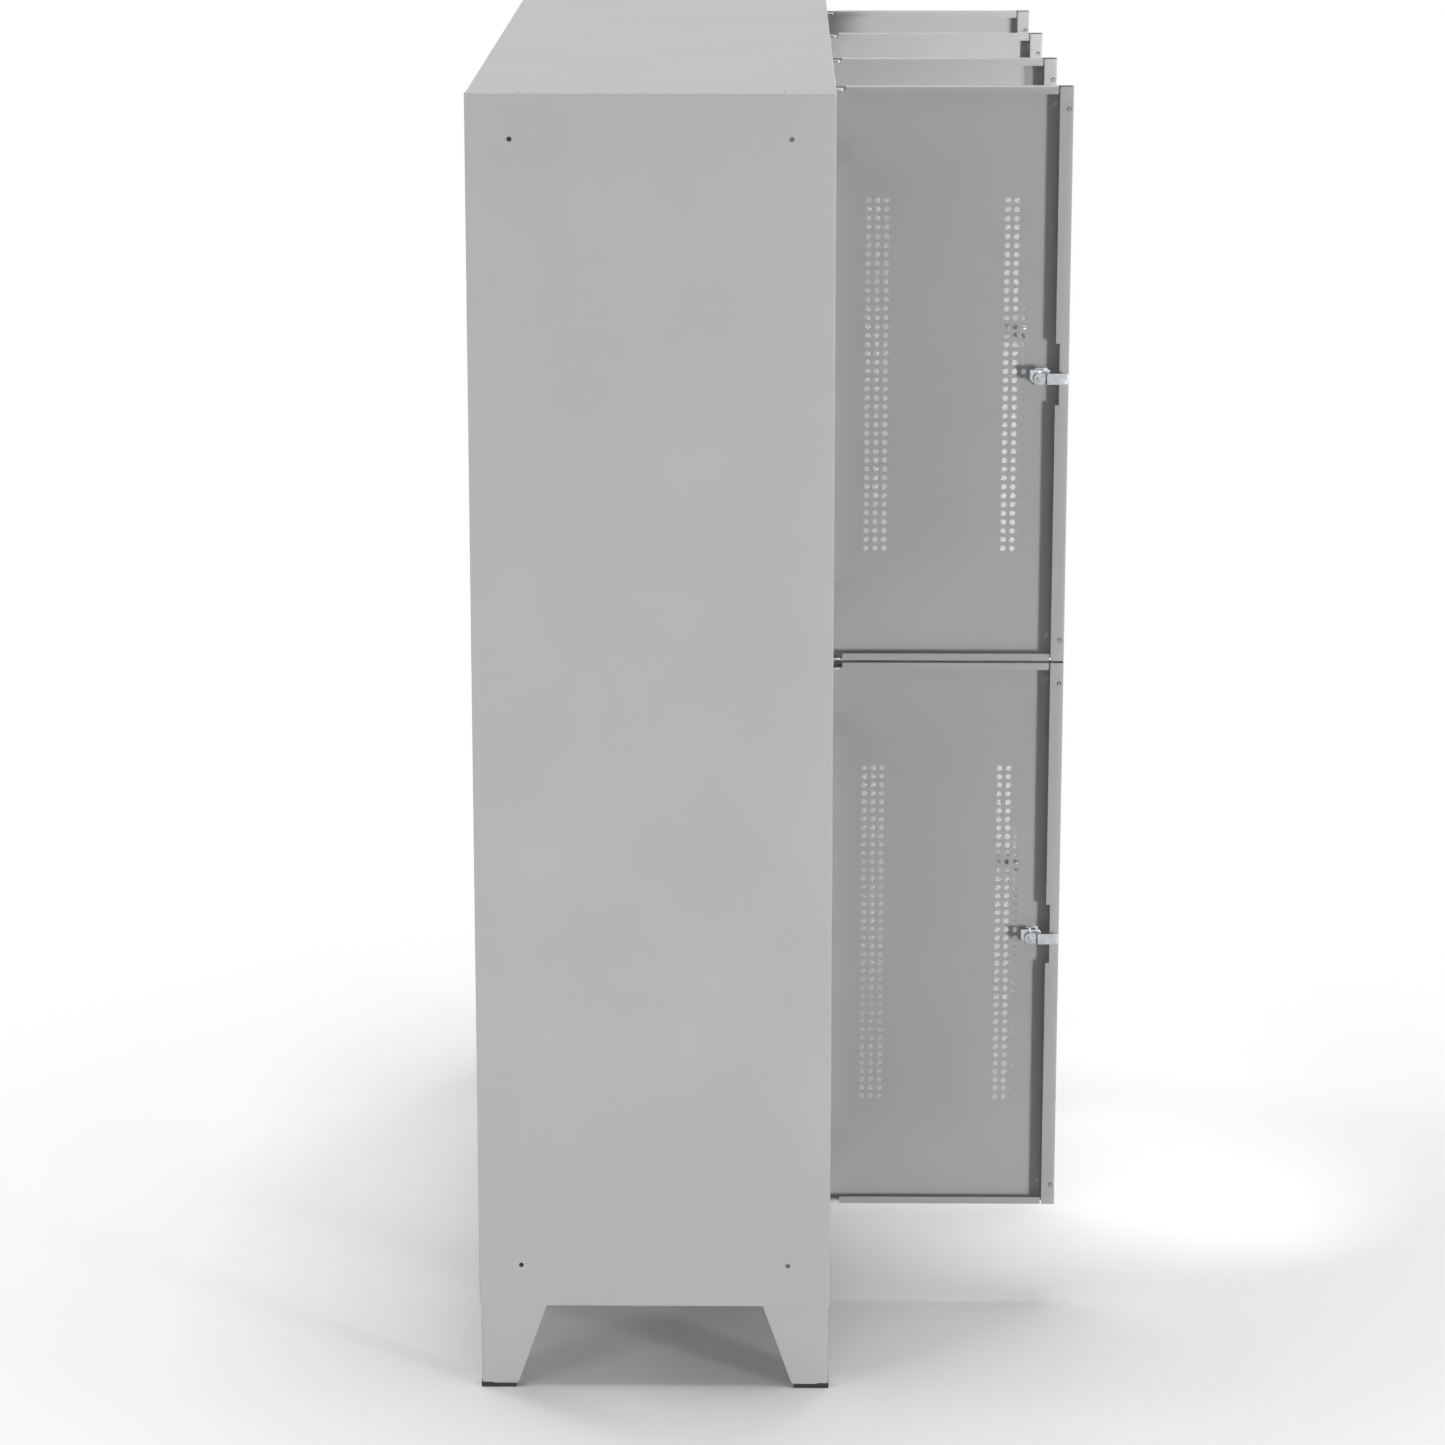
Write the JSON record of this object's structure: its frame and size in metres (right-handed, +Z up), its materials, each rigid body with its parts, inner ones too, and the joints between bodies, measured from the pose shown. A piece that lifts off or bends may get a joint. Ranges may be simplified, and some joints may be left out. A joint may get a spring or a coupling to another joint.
{
  "type": "clothes locker",
  "caption": "Double-tier sheet-steel clothes locker on corner feet, with inset perforated doors on pin hinges, cam locks, strikes, shelves and clothes rails.",
  "frame": {"origin": "on the floor, at the middle of the box that holds the locker with its doors open at a right angle", "axes": "+X to the user's right, +Y from the front to the back, +Z up; the front faces -Y"},
  "size_m": [1.6, 0.84, 1.85],
  "materials": {
    "cabinet_paint": "light grey powder coat, satin",
    "door_paint": "light grey powder coat, satin",
    "zinc_steel": "zinc plated",
    "rail_steel": "zinc plated",
    "glide_plastic": "moulded black"
  },
  "bodies": {
    "cabinet": {"side_panel_left": "cabinet_paint", "side_panel_right": "cabinet_paint", "divider_1": "cabinet_paint", "divider_2": "cabinet_paint", "divider_3": "cabinet_paint", "top_panel": "cabinet_paint", "base_panel": "cabinet_paint", "back_panel": "cabinet_paint", "shelf_1": "cabinet_paint", "shelf_2": "cabinet_paint", "shelf_3": "cabinet_paint", "shelf_4": "cabinet_paint", "foot_front_left": "cabinet_paint", "foot_front_right": "cabinet_paint", "foot_rear_left": "cabinet_paint", "foot_rear_right": "cabinet_paint", "glide_front_left": "glide_plastic", "glide_front_right": "glide_plastic", "glide_rear_left": "glide_plastic", "glide_rear_right": "glide_plastic", "clothes_rail_upper_1": "rail_steel", "strike_upper_1": "zinc_steel", "clothes_rail_upper_2": "rail_steel", "strike_upper_2": "zinc_steel", "clothes_rail_upper_3": "rail_steel", "strike_upper_3": "zinc_steel", "clothes_rail_upper_4": "rail_steel", "strike_upper_4": "zinc_steel", "clothes_rail_lower_1": "rail_steel", "strike_lower_1": "zinc_steel", "clothes_rail_lower_2": "rail_steel", "strike_lower_2": "zinc_steel", "clothes_rail_lower_3": "rail_steel", "strike_lower_3": "zinc_steel", "clothes_rail_lower_4": "rail_steel", "strike_lower_4": "zinc_steel"},
    "leaf_upper_1": {"door_upper_1": "door_paint", "lock_upper_1": "zinc_steel"},
    "latch_upper_1": {"cam_upper_1": "zinc_steel"},
    "leaf_upper_2": {"door_upper_2": "door_paint", "lock_upper_2": "zinc_steel"},
    "latch_upper_2": {"cam_upper_2": "zinc_steel"},
    "leaf_upper_3": {"door_upper_3": "door_paint", "lock_upper_3": "zinc_steel"},
    "latch_upper_3": {"cam_upper_3": "zinc_steel"},
    "leaf_upper_4": {"door_upper_4": "door_paint", "lock_upper_4": "zinc_steel"},
    "latch_upper_4": {"cam_upper_4": "zinc_steel"},
    "leaf_lower_1": {"door_lower_1": "door_paint", "lock_lower_1": "zinc_steel"},
    "latch_lower_1": {"cam_lower_1": "zinc_steel"},
    "leaf_lower_2": {"door_lower_2": "door_paint", "lock_lower_2": "zinc_steel"},
    "latch_lower_2": {"cam_lower_2": "zinc_steel"},
    "leaf_lower_3": {"door_lower_3": "door_paint", "lock_lower_3": "zinc_steel"},
    "latch_lower_3": {"cam_lower_3": "zinc_steel"},
    "leaf_lower_4": {"door_lower_4": "door_paint", "lock_lower_4": "zinc_steel"},
    "latch_lower_4": {"cam_lower_4": "zinc_steel"}
  },
  "joints": [
    {"name": "door_upper_1_hinge", "type": "hinge", "parent": "cabinet", "child": "leaf_upper_1", "pos_m": [-0.431, -0.0735, 1.40625], "axis": [0, 0, 1], "range_deg": [-90, 0]},
    {"name": "cam_upper_1_turn", "type": "hinge", "parent": "leaf_upper_1", "child": "latch_upper_1", "pos_m": [-0.4245, -0.378, 1.40625], "axis": [-1, 0, 0], "range_deg": [0, 90]},
    {"name": "door_upper_2_hinge", "type": "hinge", "parent": "cabinet", "child": "leaf_upper_2", "pos_m": [-0.031, -0.0735, 1.40625], "axis": [0, 0, 1], "range_deg": [-90, 0]},
    {"name": "cam_upper_2_turn", "type": "hinge", "parent": "leaf_upper_2", "child": "latch_upper_2", "pos_m": [-0.0245, -0.378, 1.40625], "axis": [-1, 0, 0], "range_deg": [0, 90]},
    {"name": "door_upper_3_hinge", "type": "hinge", "parent": "cabinet", "child": "leaf_upper_3", "pos_m": [0.369, -0.0735, 1.40625], "axis": [0, 0, 1], "range_deg": [-90, 0]},
    {"name": "cam_upper_3_turn", "type": "hinge", "parent": "leaf_upper_3", "child": "latch_upper_3", "pos_m": [0.3755, -0.378, 1.40625], "axis": [-1, 0, 0], "range_deg": [0, 90]},
    {"name": "door_upper_4_hinge", "type": "hinge", "parent": "cabinet", "child": "leaf_upper_4", "pos_m": [0.769, -0.0735, 1.40625], "axis": [0, 0, 1], "range_deg": [-90, 0]},
    {"name": "cam_upper_4_turn", "type": "hinge", "parent": "leaf_upper_4", "child": "latch_upper_4", "pos_m": [0.7755, -0.378, 1.40625], "axis": [-1, 0, 0], "range_deg": [0, 90]},
    {"name": "door_lower_1_hinge", "type": "hinge", "parent": "cabinet", "child": "leaf_lower_1", "pos_m": [-0.431, -0.0735, 0.56975], "axis": [0, 0, 1], "range_deg": [-90, 0]},
    {"name": "cam_lower_1_turn", "type": "hinge", "parent": "leaf_lower_1", "child": "latch_lower_1", "pos_m": [-0.4245, -0.378, 0.56975], "axis": [-1, 0, 0], "range_deg": [0, 90]},
    {"name": "door_lower_2_hinge", "type": "hinge", "parent": "cabinet", "child": "leaf_lower_2", "pos_m": [-0.031, -0.0735, 0.56975], "axis": [0, 0, 1], "range_deg": [-90, 0]},
    {"name": "cam_lower_2_turn", "type": "hinge", "parent": "leaf_lower_2", "child": "latch_lower_2", "pos_m": [-0.0245, -0.378, 0.56975], "axis": [-1, 0, 0], "range_deg": [0, 90]},
    {"name": "door_lower_3_hinge", "type": "hinge", "parent": "cabinet", "child": "leaf_lower_3", "pos_m": [0.369, -0.0735, 0.56975], "axis": [0, 0, 1], "range_deg": [-90, 0]},
    {"name": "cam_lower_3_turn", "type": "hinge", "parent": "leaf_lower_3", "child": "latch_lower_3", "pos_m": [0.3755, -0.378, 0.56975], "axis": [-1, 0, 0], "range_deg": [0, 90]},
    {"name": "door_lower_4_hinge", "type": "hinge", "parent": "cabinet", "child": "leaf_lower_4", "pos_m": [0.769, -0.0735, 0.56975], "axis": [0, 0, 1], "range_deg": [-90, 0]},
    {"name": "cam_lower_4_turn", "type": "hinge", "parent": "leaf_lower_4", "child": "latch_lower_4", "pos_m": [0.7755, -0.378, 0.56975], "axis": [-1, 0, 0], "range_deg": [0, 90]}
  ]
}
